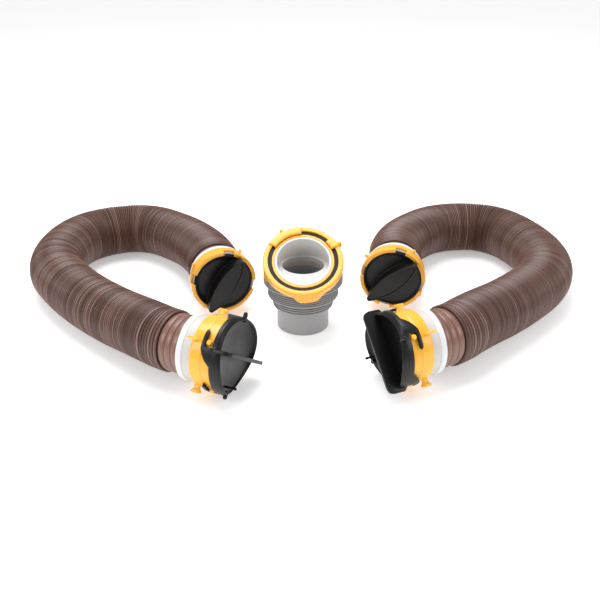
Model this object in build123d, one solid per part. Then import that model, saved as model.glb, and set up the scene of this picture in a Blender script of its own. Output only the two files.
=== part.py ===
"""Sewer hose kit: two ribbed hoses with lug and bayonet ends, and a bent threaded adapter.

Frame: millimetres, +Z up. The origin is the centre of the adapter's foot, on the floor. +X runs
from hose A to hose B and +Y runs from the capped lug ends to the bayonet ends.
Every fitting is drawn in its own frame (local +Z along the fitting, pointing out of its mouth)
and then placed. Distances along a fitting start at the back of its white collar (lug end) or at
the back of its yellow ring (bayonet end).
"""
import math
import os

from build123d import *

OUT = "parts"

# ---------------------------------------------------------------- hose
HOSE_R = 42.5            # envelope of the ribs, on the compressed length
HOSE_BORE = 37.2         # inside of the wall
NECK_R = 39.5            # the last turns, drawn out beside a fitting
FLOOR_CLEAR = 0.2        # the hose lies this far above the floor
AXIS_Z = 54.0            # height of every hose fitting's axis
LUG_TUCK = 12.0          # hose end inside the lug end's collar
BAY_TUCK = 10.0          # and inside the bayonet end's collar
LUG_NECK = 27.0          # drawn-out turns showing at the lug end
BAY_NECK = 18.0          # and at the bayonet end

# Route of each hose, bayonet end first: plan x, y (mm). Heights are added below. The first and
# last runs lie on the fittings' axes.
ROUTE_A = [(-127, 54), (-140, 94), (-158, 146), (-199, 216), (-281, 282), (-385, 236),
           (-404, 110), (-345, 20), (-274, -54), (-213, -108), (-172, -147), (-132, -165)]
ROUTE_B = [(140, 68), (147, 109), (150, 154), (172, 215), (236, 281), (338, 279),
           (388, 170), (384, 72), (302, -23), (235, -84), (195, -132), (155, -150)]
LOW = HOSE_R + FLOOR_CLEAR
ROUTE_Z = [AXIS_Z, AXIS_Z, 50.0, 44.0, LOW, LOW, LOW, LOW, 44.0, 50.0, AXIS_Z, AXIS_Z]

# ---------------------------------------------------------------- lug end (distances from the collar's back)
COLLAR_RIM_R = 45.0      # white collar, bright rim
COLLAR_RIM_L = 8.0
COLLAR_R = 43.4          # frosted cylinder in front of the rim
COLLAR_L = 26.0
SLEEVE_R = 36.9          # inner sleeve that carries the hose and the swivel ring
SLEEVE_BORE = 33.6
ORING_R = 35.95          # O-ring in a groove of the sleeve, just clear of the swivel ring
RING_S = 21.5            # yellow ring starts here
RING_R = 47.6
RING_NOSE_R = 46.6
RING_END = 54.0
PIN_S = 46.5             # round-headed pins
PIN_TOP_R = 51.6
EAR_S = 25.0             # finger ears
EAR_R = 57.5
LUG_PHI = 45.0           # first pin and ear; three more at 90 degree steps
CAP_R = 51.6             # black cap
CAP_IN_R = 48.0
ARM_S0, ARM_S1 = 37.5, 42.4     # bayonet arm
CAP_EDGE = 52.4          # back edge of the skirt between arms
CAP_RIM = 65.0           # rim of the dished face
FIN_T = 5.0
FIN_R = 56.0
FIN_END = 80.5
CAP_TURN = 26.0          # twist that frees the pins
FIN_A = 145.0            # heading of the fin, degrees about the fitting
FIN_B = 135.0

# ---------------------------------------------------------------- bayonet end (distances from the ring's back)
BAY_COLLAR_L = 14.0      # white collar behind the yellow ring
BAY_RING_R = 49.3
BAY_BASE_R = 47.8
BAY_END = 23.0
LIP_S = 19.6
LIP_R = 43.8
CLAW_IN_R = 46.3
GAP_PHI = -13.0          # first gap between claws
GAP_W = 20.0
PLUG_R = 43.4
PLUG_S0 = 15.2
PLUG_FACE = 20.5
PLUG_TURN = 30.0
GRIP_L, GRIP_W = 101.0, 29.0     # leaf-shaped grip, before its tips are rounded off
GRIP_END_R = 46.5        # its tips reach this radius, over the claws
GRIP_STEP = 24.0         # under this it stays inside the claws
GRIP_INNER_R = 41.4
GRIP_TOP = 40.0
GRIP_A = 55.0            # heading of the leaf-shaped grip
GRIP_B = 41.0

# ---------------------------------------------------------------- adapter
SPIGOT_R = 38.2          # slips into 3 in pipe
SPIGOT_H = 36.0
STEPS = [(44.5, 36.0, 52.0), (52.0, 52.0, 72.0), (58.0, 72.0, 84.0)]
THREAD_PITCH = 3.2       # 8 to the inch
STEP_BORE = 34.2
CUP_R = 55.2             # cup in the widest step that takes the elbow's foot
CUP_Z = 73.0
SOCKET_R = 47.2          # bore under the cup
FOOT_R = 46.2            # elbow's foot in that bore
FOOT_SEAL_R = 45.9       # O-ring in a groove of the foot
ELBOW_R = 40.6
ELBOW_BORE = 37.2
SHELF_LOW, SHELF_TOP = 92.0, 99.9    # level shelf inside the elbow, flush with the mouth in front
THROAT_R = 30.2          # round hole in the shelf
THROAT_Y = -6.0
INNER_R, INNER_BORE = 33.5, 31.0     # collar of the spigot that stands up inside the elbow
INNER_TOP = 80.0
ELBOW_TILT = 33.0        # mouth axis from the vertical
BEND_Z = 76.5            # the two tube axes meet here
MOUTH_D = 46.0           # from the bend to the mouth plane
HEAD_R = 57.3            # yellow ring on the elbow
HEAD_IN_R = 54.4


# ================================================================= helpers
def tube(r_out, r_in, z0, z1):
    """Hollow cylinder from z0 to z1 on the local axis."""
    body = Pos(0, 0, (z0 + z1) / 2) * Cylinder(r_out, z1 - z0)
    return body - Pos(0, 0, (z0 + z1) / 2) * Cylinder(r_in, z1 - z0 + 2)


def disc(r, z0, z1):
    """Solid cylinder from z0 to z1 on the local axis."""
    return Pos(0, 0, (z0 + z1) / 2) * Cylinder(r, z1 - z0)


def sector(r_in, r_out, z0, z1, mid, width):
    """Part of a hollow cylinder, centred on the angle mid."""
    face = Plane.XZ * Pos((r_in + r_out) / 2, (z0 + z1) / 2) * Rectangle(r_out - r_in, z1 - z0)
    return Rot(0, 0, mid - width / 2) * revolve(face, Axis.Z, width)


def lathe(points):
    """Solid of revolution from (radius, height) corners."""
    outline = Polyline(*[(r, 0, z) for r, z in points], close=True)
    return revolve(make_face(outline), Axis.Z)


def ring(radius, wire, z):
    """O-ring on the local axis."""
    return Pos(0, 0, z) * Torus(radius, wire)


def side_prism(points, phi, r0, r1):
    """Prism standing out of the wall at phi. Points are (along the wall, along the axis)."""
    a = math.radians(phi)
    out = Vector(math.cos(a), math.sin(a), 0)
    tangent = Vector(-math.sin(a), math.cos(a), 0)
    plane = Plane(origin=out * r0, x_dir=tangent, z_dir=out)
    # local y of that plane is out x tangent = +Z
    outline = Polyline(*[(t, s) for t, s in points], close=True)
    return extrude(plane * make_face(outline), r1 - r0)


def radial_post(phi, s, radius, r0, r1):
    """Round post pointing away from the axis."""
    a = math.radians(phi)
    out = Vector(math.cos(a), math.sin(a), 0)
    plane = Plane(origin=out * r0 + Vector(0, 0, s), x_dir=Vector(0, 0, 1), z_dir=out)
    return extrude(plane * Circle(radius), r1 - r0)


def domed_post(phi, s, radius, r0, r1):
    """Round post whose end is a half ball centred at r1."""
    a = math.radians(phi)
    return radial_post(phi, s, radius, r0, r1) + Pos(r1 * math.cos(a), r1 * math.sin(a), s) * Sphere(radius)


def end_frame(tip, inner, back):
    """Frame of a fitting on the run from inner to tip; its origin is back mm before the tip."""
    out = (Vector(*tip, 0) - Vector(*inner, 0)).normalized()
    origin = Vector(*tip, AXIS_Z) - out * back
    return Plane(origin=origin, x_dir=(-out.Y, out.X, 0), z_dir=out)


def placed(shape, plane):
    """Put a fitting drawn on its own axis into the kit."""
    return plane.location * shape


# ================================================================= hose
def route_points(plan):
    return [Vector(x, y, z) for (x, y), z in zip(plan, ROUTE_Z)]


def corner_radii(points):
    """Arc radius at every inner corner: 0.45 of the shorter run over tan(half the turn)."""
    radii = []
    for before, here, after in zip(points, points[1:], points[2:]):
        turn = math.radians((here - before).get_angle(after - here))
        run = min((here - before).length, (after - here).length)
        radii.append(0.45 * run / math.tan(turn / 2))
    return radii


def hose_route(plan):
    points = route_points(plan)
    radii = corner_radii(points)
    return route_wire(points, radii), radii


def route_wire(points, radii):
    """Straight runs joined by one tangent arc at every corner."""
    edges = []
    start = points[0]
    for before, here, after, radius in zip(points, points[1:], points[2:], radii):
        d0 = (here - before).normalized()
        d1 = (after - here).normalized()
        cut = radius * math.tan(math.radians(d0.get_angle(d1)) / 2)
        p0 = here - d0 * cut
        p1 = here + d1 * cut
        edges.append(Line(start, p0))
        edges.append(TangentArc(p0, p1, tangent=d0))
        start = p1
    edges.append(Line(start, points[-1]))
    return Wire(edges)


def hose_piece(plan):
    """Tube along the whole route, with the rib envelope over all but the drawn-out necks."""
    wire, radii = hose_route(plan)
    length = wire.length
    start, end = BAY_TUCK + BAY_NECK, length - LUG_TUCK - LUG_NECK
    core = swept(wire, NECK_R, HOSE_BORE)
    ribs = swept(wire.trim(start / length, end / length), HOSE_R, NECK_R - 0.8)
    return core + ribs, length, radii


def swept(wire, r_out, r_in):
    """Hollow tube along a wire."""
    plane = Plane(origin=wire.position_at(0), z_dir=wire.tangent_at(0))
    return sweep(plane * (Circle(r_out) - Circle(r_in)), path=wire)


# ================================================================= lug end
def lug_collar():
    return (tube(COLLAR_RIM_R, NECK_R + 0.05, 0.0, COLLAR_RIM_L)
            + tube(COLLAR_R, NECK_R + 0.05, COLLAR_RIM_L - 0.01, 12.0)
            + tube(COLLAR_R, SLEEVE_R + 0.05, 12.0, COLLAR_L))


def lug_sleeve():
    groove = ring(ORING_R, 1.25, 33.0)
    return tube(SLEEVE_R, SLEEVE_BORE, -11.0, 40.0) + tube(39.0, SLEEVE_BORE, 39.99, 42.0) - groove


def lug_oring():
    return ring(ORING_R, 1.2, 33.0)


def finger_ear(phi):
    """Thin fan-shaped finger on the back of the ring."""
    half = EAR_S
    pts = [(RING_R - 2.0, half - 5.0), (51.5, half - 5.0), (54.0, half - 8.0), (56.5, half - 7.2),
           (EAR_R, half - 4.0), (EAR_R, half + 4.0), (56.5, half + 7.2), (54.0, half + 8.0),
           (51.5, half + 5.0), (RING_R - 2.0, half + 5.0)]
    outline = Polyline(*[(r, 0, s) for r, s in pts], close=True)
    plate = extrude(make_face(outline), 1.9, both=True)
    return Rot(0, 0, phi) * plate


def lug_pin(phi):
    """Round pin with a domed head."""
    stem = radial_post(phi, PIN_S, 2.8, 45.5, 49.0)
    head = radial_post(phi, PIN_S, 3.7, 48.2, PIN_TOP_R)
    return stem + head


def lug_ring():
    body = lathe([(COLLAR_R + 0.35, RING_S), (RING_R, RING_S), (RING_R, 37.0), (RING_NOSE_R, 39.0),
                  (RING_NOSE_R, RING_END), (40.0, RING_END), (40.0, 39.2), (SLEEVE_R + 0.3, 39.2),
                  (SLEEVE_R + 0.3, COLLAR_L + 0.6), (COLLAR_R + 0.35, COLLAR_L + 0.6)])
    for k in range(4):
        body += finger_ear(LUG_PHI + 90 * k)
        body += lug_pin(LUG_PHI + 90 * k)
    return body


def lug_gasket():
    return tube(46.2, 40.4, RING_END + 0.05, 56.0)


def cap_arm(phi):
    """Hooked arm: it runs behind one pin, with its root in the skirt and its tip clockwise."""
    pts = [(-17.0, ARM_S0 + 2.2), (-14.5, ARM_S0), (8.5, ARM_S0), (15.0, ARM_S0 + 2.6),
           (24.0, 45.6), (31.0, CAP_EDGE + 0.6), (31.0, 55.0), (6.2, 55.0), (6.2, 45.0),
           (3.6, ARM_S1), (-15.5, ARM_S1), (-17.6, ARM_S1 - 1.6)]
    return side_prism(pts, phi, 40.0, 60.0)


def lug_cap(fin):
    """Black cap: dished face, skirt with four hooked arms, grip fin and posts."""
    shell = lathe([(CAP_IN_R, CAP_EDGE), (CAP_R, CAP_EDGE), (CAP_R, CAP_RIM - 1.5),
                   (CAP_R - 1.5, CAP_RIM), (48.6, CAP_RIM), (45.5, 61.6), (36.0, 59.4), (0.0, 58.6),
                   (0.0, 56.1), (CAP_IN_R, 56.1)])
    arm_stock = tube(CAP_R, CAP_IN_R + 0.1, ARM_S0 - 1, 56.5)
    for k in range(4):
        shell += arm_stock & cap_arm(LUG_PHI + 90 * k)
    shell += cap_fin(fin)
    for side, top in ((90, 53.1), (-90, 55.6)):
        shell += domed_post(fin + side, 62.0, 2.9, 46.0, top)
    a = math.radians(fin + 84)
    shell += Pos(40 * math.cos(a), 40 * math.sin(a), 67.5) * Cylinder(1.4, 15.0)
    shell += Pos(40 * math.cos(a), 40 * math.sin(a), 75.0) * Sphere(2.0)
    return shell


def cap_fin(phi):
    """Grip plate across the whole face, carried down the skirt at both ends."""
    pts = [(-FIN_R, CAP_EDGE + 4), (-FIN_R, FIN_END - 8), (-FIN_R + 2.3, FIN_END - 2.3), (-FIN_R + 8, FIN_END),
           (FIN_R - 8, FIN_END), (FIN_R - 2.3, FIN_END - 2.3), (FIN_R, FIN_END - 8), (FIN_R, CAP_EDGE + 4),
           (FIN_R - 5.2, CAP_EDGE), (FIN_R - 5.6, 57.2), (5.6 - FIN_R, 57.2), (5.2 - FIN_R, CAP_EDGE)]
    outline = Polyline(*[(r, 0, s) for r, s in pts], close=True)
    return Rot(0, 0, phi) * extrude(make_face(outline), FIN_T / 2, both=True)


# ================================================================= bayonet end
def bay_collar():
    return (tube(45.4, NECK_R + 0.05, -14.0, -6.0) + tube(43.6, NECK_R + 0.05, -6.01, -4.0)
            + tube(43.6, SLEEVE_R + 0.05, -4.0, 4.0))


def bay_sleeve():
    groove = ring(ORING_R, 1.25, 7.6)
    return tube(SLEEVE_R, SLEEVE_BORE, -22.0, 10.5) + tube(38.8, SLEEVE_BORE, 10.49, 13.4) - groove


def bay_oring():
    return ring(ORING_R, 1.2, 7.6)


def bay_ring():
    body = lathe([(44.0, 0.0), (BAY_BASE_R, 0.0), (BAY_RING_R, 4.0), (BAY_RING_R, BAY_END - 1.0),
                  (BAY_RING_R - 1.0, BAY_END), (LIP_R, BAY_END), (LIP_R, LIP_S), (CLAW_IN_R, LIP_S),
                  (CLAW_IN_R, 12.0), (40.0, 12.0), (40.0, 10.2), (SLEEVE_R + 0.3, 10.2),
                  (SLEEVE_R + 0.3, 4.6), (44.0, 4.6)])
    for k in range(4):
        body -= sector(42.0, 60.0, 13.0, BAY_END + 5, GAP_PHI + 90 * k, GAP_W)
        body += bay_peg(55.0 + 90 * k)
    return body


def bay_peg(phi):
    """Small hooked peg on the outside of the ring."""
    return radial_post(phi, 9.0, 2.4, 48.0, 53.0) + radial_post(phi, 8.0, 3.2, 52.0, 53.6)


def bay_gasket():
    return tube(44.2, 40.2, 12.05, 15.0)


def bay_liner():
    return tube(46.2, 44.7, 12.05, 17.6)


def leaf(length, width, heading, z0, z1):
    """Pointed oval prism, the shape where two equal circles overlap."""
    half, r = length / 2, (length ** 2 / 4 + width ** 2 / 4) / width
    off = r - width / 2
    body = Pos(0, off, (z0 + z1) / 2) * Cylinder(r, z1 - z0) & Pos(0, -off, (z0 + z1) / 2) * Cylinder(r, z1 - z0)
    return Rot(0, 0, heading) * body


def bay_plug(grip):
    """Black plug: dished disc with a leaf-shaped grip and four lugs that go under the claws."""
    body = lathe([(0.0, PLUG_S0), (PLUG_R, PLUG_S0), (PLUG_R, PLUG_FACE), (41.6, PLUG_FACE), (39.6, 18.4),
                  (0.0, 17.6)])
    for k in range(4):
        body += sector(PLUG_R - 2.0, 46.0, 17.9, LIP_S - 0.3, GAP_PHI + PLUG_TURN + 90 * k, 14.0)
    foot = leaf(GRIP_L, GRIP_W, grip, 16.0, GRIP_STEP) & disc(GRIP_INNER_R, 15.5, GRIP_STEP)
    top = leaf(GRIP_L, GRIP_W, grip, GRIP_STEP, GRIP_TOP) & disc(GRIP_END_R, GRIP_STEP, GRIP_TOP)
    hollow = leaf(GRIP_L - 8, GRIP_W - 4.5, grip, GRIP_TOP - 1.6, GRIP_TOP + 1)
    return body + foot + top - (hollow & disc(GRIP_END_R - 2, GRIP_TOP - 2, GRIP_TOP + 1))


# ================================================================= adapter
def thread_profile(r, z0, z1):
    """Saw-tooth outline of one threaded step."""
    count = round((z1 - z0 - 2.0) / THREAD_PITCH)
    pts = [(r - 1.2, z0), (r - 0.2, z0 + 1.0)]
    pitch = (z1 - z0 - 2.0) / count
    for k in range(count):
        z = z0 + 1.0 + k * pitch
        pts += [(r, z + pitch * 0.15), (r, z + pitch * 0.4), (r - 1.2, z + pitch * 0.7), (r - 0.2, z + pitch)]
    pts += [(r - 0.2, z1)]
    return pts


def adapter_spigot():
    outer = [(STEP_BORE, 0.0), (SPIGOT_R - 1.2, 0.0), (SPIGOT_R, 1.2), (SPIGOT_R, SPIGOT_H)]
    for r, z0, z1 in STEPS:
        outer += thread_profile(r, z0, z1)
    outer += [(CUP_R, STEPS[-1][2]), (CUP_R, CUP_Z), (SOCKET_R, CUP_Z), (SOCKET_R, 64.0), (INNER_R, 64.0),
              (INNER_R, INNER_TOP), (INNER_BORE, INNER_TOP), (INNER_BORE, 62.0), (STEP_BORE, 58.0)]
    return lathe(outer)


def mouth_plane(offset=0.0):
    """Frame of the elbow's mouth: local +Z out of the mouth, local x along +X."""
    a = math.radians(ELBOW_TILT)
    n = Vector(0, -math.sin(a), math.cos(a))
    return Plane(origin=Vector(0, 0, BEND_Z) + n * (MOUTH_D + offset), x_dir=(1, 0, 0), z_dir=n)


def elbow_solid(radius, low, high):
    """Upright tube and tilted tube, joined by a ball at the bend."""
    at = mouth_plane(0).location
    upright = Pos(0, 0, (low + BEND_Z) / 2) * Cylinder(radius, BEND_Z - low)
    tilted = at * Pos(0, 0, (high - MOUTH_D) / 2) * Cylinder(radius, MOUTH_D + high)
    return upright + tilted + Pos(0, 0, BEND_Z) * Sphere(radius)


def adapter_elbow():
    """Translucent elbow: foot that turns in the cup, throat in a level shelf, and a lip for the ring."""
    at = mouth_plane(0).location
    outer = elbow_solid(ELBOW_R, 66.0, 0.0)
    foot = lathe([(20, 64.4), (FOOT_R, 64.4), (FOOT_R, CUP_Z + 0.4), (54.6, CUP_Z + 0.4), (54.6, 77.0),
                  (45.6, 79.5), (20, 79.5)])
    below = Pos(0, 0, 40) * Box(200, 200, 2 * (64.4 - 40))
    lip = at * tube(42.4, ELBOW_R - 1, -3.6, -2.2)
    bead = at * tube(42.0, ELBOW_R - 1, -10.0, -7.9)
    groove = ring(FOOT_SEAL_R, 1.25, 69.0)
    body = (outer + foot - below) + lip + bead - groove
    bore = elbow_solid(ELBOW_BORE, 50.0, 3.0)
    under = bore & Pos(0, 0, SHELF_LOW - 50) * Box(200, 200, 100)
    over = bore & Pos(0, 0, SHELF_TOP + 50) * Box(200, 200, 100)
    throat = Pos(0, THROAT_Y, 0) * disc(THROAT_R, SHELF_LOW - 1, SHELF_TOP + 1)
    return body - under - over - throat


def adapter_head():
    """Yellow ring on the elbow: face with a gasket seat and a skirt with a wavy back edge."""
    neck = ELBOW_R + 0.3
    face = lathe([(neck, -7.5), (HEAD_IN_R, -7.5), (HEAD_R, -6.5),
                  (HEAD_R, 0.6), (HEAD_R - 1.0, 1.6), (50.2, 1.6), (50.2, -4.2), (44.2, -4.2), (44.2, -0.2),
                  (neck, -0.2), (neck, -1.9), (42.8, -1.9), (42.8, -3.9), (neck, -3.9)])
    skirt = tube(HEAD_R, HEAD_IN_R, -22.0, -5.5)
    for k in range(4):
        lobe = [(-26, -5), (-22, -8.5), (-17, -15), (-12, -20.4), (-8, -22), (8, -22), (12, -20.4), (17, -15),
                (22, -8.5), (26, -5)]
        face += skirt & side_prism(lobe, 278.0 + 90 * k, 30.0, 70.0)
    for mid, width in ((127.0, 46.0), (32.0, 20.0)):
        face += sector(46.0, 51.0, 0.2, 4.0, mid, width) + sector(50.2, HEAD_R - 1, 0.2, 4.0, mid, width)
    for phi in (121.0, 30.0):
        face += head_peg(phi)
    return face


def head_peg(phi):
    """Thin finger standing out of the ring."""
    pts = [(55.0, -9.0), (60.5, -10.5), (62.0, -9.0), (62.0, -1.0), (60.5, 0.5), (55.0, -1.0)]
    outline = Polyline(*[(r, 0, s) for r, s in pts], close=True)
    return Rot(0, 0, phi) * extrude(make_face(outline), 1.8, both=True)


def adapter_gasket():
    return tube(49.9, 44.5, -4.15, -0.9)


def adapter_oring():
    return ring(FOOT_SEAL_R, 1.2, 69.0)


def in_mouth(shape):
    return mouth_plane(0).location * shape


# ================================================================= build
def hose_set(tag, plan, fin, grip):
    bay = end_frame(plan[0], plan[1], -(BAY_COLLAR_L - BAY_TUCK))
    lug = end_frame(plan[-1], plan[-2], LUG_TUCK)
    hose, length, radii = hose_piece(plan)
    print(f"hose_{tag}: route {length:.1f} mm, arc radii", [round(r) for r in radii],
          f"volume {hose.volume / 1000:.1f} cm3")
    necks = LUG_TUCK + LUG_NECK + BAY_TUCK + BAY_NECK
    plain = math.pi * (HOSE_R ** 2 - HOSE_BORE ** 2) * (length - necks)
    slim = math.pi * (NECK_R ** 2 - HOSE_BORE ** 2) * necks
    print(f"hose_{tag}: section times length {(plain + slim) / 1000:.1f} cm3; bayonet ring at",
          [round(v, 2) for v in bay.origin], "lug collar at", [round(v, 2) for v in lug.origin])
    return {
        f"hose_{tag}_tube": hose,
        f"hose_{tag}_lug_collar": placed(lug_collar(), lug),
        f"hose_{tag}_lug_sleeve": placed(lug_sleeve(), lug),
        f"hose_{tag}_lug_oring": placed(lug_oring(), lug),
        f"hose_{tag}_lug_ring": placed(lug_ring(), lug),
        f"hose_{tag}_lug_gasket": placed(lug_gasket(), lug),
        f"hose_{tag}_lug_cap": placed(lug_cap(fin), lug),
        f"hose_{tag}_bay_collar": placed(bay_collar(), bay),
        f"hose_{tag}_bay_sleeve": placed(bay_sleeve(), bay),
        f"hose_{tag}_bay_oring": placed(bay_oring(), bay),
        f"hose_{tag}_bay_ring": placed(bay_ring(), bay),
        f"hose_{tag}_bay_gasket": placed(bay_gasket(), bay),
        f"hose_{tag}_bay_liner": placed(bay_liner(), bay),
        f"hose_{tag}_bay_plug": placed(bay_plug(grip), bay),
    }


def build():
    nodes = {
        "adapter_spigot": adapter_spigot(),
        "adapter_elbow": adapter_elbow(),
        "adapter_ring": in_mouth(adapter_head()),
        "adapter_gasket": in_mouth(adapter_gasket()),
        "adapter_oring": adapter_oring(),
    }
    nodes.update(hose_set("a", ROUTE_A, FIN_A, GRIP_A))
    nodes.update(hose_set("b", ROUTE_B, FIN_B, GRIP_B))
    return nodes


def main():
    os.makedirs(OUT, exist_ok=True)
    for name, shape in build().items():
        solids = shape.solids()
        if len(solids) != 1:
            print("WARNING", name, "has", len(solids), "solids")
        box = shape.bounding_box()
        print(f"{name}: {shape.volume / 1000:.2f} cm3, z {box.min.Z:.1f} to {box.max.Z:.1f}")
        export_step(shape, os.path.join(OUT, name + ".step"))


if __name__ == "__main__":
    main()
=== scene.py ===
"""Looks of a sewer hose kit: ribbed hoses with lug and bayonet ends, and a bent threaded adapter.

Distances along a fitting start at the back of its white collar (lug end), the back of its yellow
ring (bayonet end) or the floor (adapter).
"""
import logging
import math
from dataclasses import dataclass
from enum import Enum
from typing import Callable, ClassVar, NamedTuple, Sequence, Union

import bmesh
import bpy
from mathutils import Matrix, Vector, noise


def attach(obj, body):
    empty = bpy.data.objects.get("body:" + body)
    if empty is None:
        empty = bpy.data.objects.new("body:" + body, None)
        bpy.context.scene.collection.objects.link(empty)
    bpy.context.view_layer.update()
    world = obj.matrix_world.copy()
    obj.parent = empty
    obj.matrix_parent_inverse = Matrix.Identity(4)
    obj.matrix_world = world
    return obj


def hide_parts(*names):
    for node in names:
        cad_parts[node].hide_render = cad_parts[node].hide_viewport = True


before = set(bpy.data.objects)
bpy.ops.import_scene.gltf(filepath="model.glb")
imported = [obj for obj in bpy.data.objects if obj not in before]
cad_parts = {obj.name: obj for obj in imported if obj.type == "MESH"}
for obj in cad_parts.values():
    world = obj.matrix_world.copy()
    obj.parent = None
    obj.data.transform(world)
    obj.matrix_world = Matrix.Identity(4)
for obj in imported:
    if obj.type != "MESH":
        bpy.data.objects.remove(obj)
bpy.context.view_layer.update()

log = logging.getLogger("hose_kit")

MM = 0.001
ON_AXIS = 1e-6
NEAR = 1e-3
ROUND = 96
FINE = 120
TO_METRES = Matrix.Scale(MM, 4)
UP = Vector((0, 0, 1))
WHITE = (1.0, 1.0, 1.0, 1.0)

Outline = Sequence[tuple[float, float]]
Colour = tuple[float, float, float, float]
Value = Union["Sock", float, tuple]


def srgb(red: float, green: float, blue: float) -> Colour:
    """Linear colour of a paint-chart colour given as 0 to 255."""
    def linear(channel: float) -> float:
        """Linear value of one channel."""
        part = channel / 255.0
        return part / 12.92 if part <= 0.04045 else ((part + 0.055) / 1.055) ** 2.4
    return (linear(red), linear(green), linear(blue), 1.0)


def held(value: float) -> float:
    """The value held between 0 and 1."""
    return min(1.0, max(0.0, value))


def shown(name: str, data: bpy.types.ID) -> bpy.types.Object:
    """New object in the scene around a mesh, lamp or camera."""
    made = bpy.data.objects.new(name, data)
    bpy.context.scene.collection.objects.link(made)
    return made


# ------------------------------------------------------------------ shader expressions
class Sock:
    """One output socket that takes part in arithmetic."""

    def __init__(self, paint: "Paint", out: bpy.types.NodeSocket) -> None:
        """Wrap an output socket of a material under construction."""
        self.paint = paint
        self.out = out

    def _math(self, operation: str, left: Value, right: Value = 0.0) -> "Sock":
        """Add one Math node."""
        return self.paint.node("ShaderNodeMath", {"operation": operation}, {0: left, 1: right})

    def __add__(self, other: Value) -> "Sock":
        """Sum."""
        return self._math("ADD", self, other)

    __radd__ = __add__

    def __sub__(self, other: Value) -> "Sock":
        """Difference."""
        return self._math("SUBTRACT", self, other)

    def __rsub__(self, other: Value) -> "Sock":
        """Difference from a number."""
        return self._math("SUBTRACT", other, self)

    def __mul__(self, other: Value) -> "Sock":
        """Product."""
        return self._math("MULTIPLY", self, other)

    __rmul__ = __mul__

    def clamped(self) -> "Sock":
        """The value held between 0 and 1."""
        return self._math("MINIMUM", self._math("MAXIMUM", self, 0.0), 1.0)

    def above(self, edge: float, width: float) -> "Sock":
        """Smooth step from 0 at the edge to 1 a width further up."""
        return ((self - edge) * (1.0 / width)).clamped()


class Paint:
    """A node material under construction."""

    def __init__(self, name: str) -> None:
        """Start an empty node material of that name."""
        self.material = bpy.data.materials.new(name)
        self.material.use_nodes = True
        self.tree = self.material.node_tree
        self.shader = self.tree.nodes["Principled BSDF"]

    def node(self, kind: str, settings: dict, inputs: dict, output: Union[int, str] = 0) -> Sock:
        """Add one node.

        Args:
            kind: the node's type.
            settings: its own properties, set before its sockets.
            inputs: values or linked sockets, by the input's name or number.
            output: name or number of the wanted output.

        Returns:
            The wanted output, ready for arithmetic.
        """
        made = self.tree.nodes.new(kind)
        for key, value in settings.items():
            setattr(made, key, value)
        for key, value in inputs.items():
            self.feed(made.inputs[key], value)
        return Sock(self, made.outputs[output])

    def feed(self, socket: bpy.types.NodeSocket, value: Value) -> None:
        """Link a socket, or set its value."""
        if isinstance(value, Sock):
            self.tree.links.new(value.out, socket)
        else:
            socket.default_value = value

    def place(self) -> Sock:
        return self.node("ShaderNodeTexCoord", {}, {}, "Object")

    def noise(self, per_metre: float, detail: float = 2.0, roughness: float = 0.5) -> Sock:
        """Cloudy value around 0.5 with that many blobs to a metre."""
        return self.node("ShaderNodeTexNoise", {}, {"Vector": self.place(), "Scale": per_metre,
                                                    "Detail": detail, "Roughness": roughness})

    def attribute(self, name: str) -> Sock:
        """A value kept on the mesh's vertices."""
        return self.node("ShaderNodeAttribute", {"attribute_name": name}, {}, "Fac")

    def blend(self, factor: Value, low: Value, high: Value) -> Sock:
        """Colour between low and high."""
        return self.node("ShaderNodeMix", {"data_type": "RGBA"}, {0: factor, 6: low, 7: high}, 2)

    def bump(self, height: Sock, depth_m: float, strength: float = 1.0) -> Sock:
        """Normal of a fine relief."""
        return self.node("ShaderNodeBump", {}, {"Height": height, "Distance": depth_m,
                                                "Strength": strength})

    def dress(self, links: dict[str, Value]) -> bpy.types.Material:
        """Feed the surface shader and hand over the material."""
        for key, value in links.items():
            self.feed(self.shader.inputs[key], value)
        return self.material


# ------------------------------------------------------------------ finishes
@dataclass(frozen=True)
class Moulded:
    """Moulded plastic or rubber: slow tone drift, soft handling marks and a fine grain.

    A vertex value "tone" of 0 to 1, where a piece carries one, leans the colour to the second tone.
    """

    slot: str
    colour: Colour
    second: Colour
    roughness: float
    drift: float = 0.25
    grain_per_m: float = 2400.0
    grain_depth: float = 0.00004
    coat: float = 0.0
    scatter: float = 0.0
    scuff: float = 0.10
    specular: float = 0.5

    def material(self) -> bpy.types.Material:
        """Build the node material."""
        paint = Paint(self.slot)
        clouds = paint.noise(38.0, 3.0, 0.55)
        marks = paint.noise(310.0, 4.0, 0.65)
        lean = (paint.attribute("tone") + (clouds - 0.5) * self.drift * 2.0).clamped()
        base = paint.blend(lean, self.colour, self.second)
        rough = (marks - 0.5) * self.scuff * 2.0 + (clouds - 0.5) * self.scuff + self.roughness
        grain = paint.noise(self.grain_per_m, 2.0, 0.5)
        self._constants(paint)
        return paint.dress({"Base Color": base, "Roughness": rough.clamped(),
                            "Normal": paint.bump(grain + marks * 0.6, self.grain_depth)})

    def _constants(self, paint: Paint) -> None:
        """Set what is the same all over the surface."""
        paint.dress({"Coat Weight": self.coat, "Coat Roughness": 0.12,
                     "Specular IOR Level": self.specular, "Subsurface Weight": self.scatter,
                     "Subsurface Radius": (1.0, 0.75, 0.5), "Subsurface Scale": 0.004})


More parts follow.
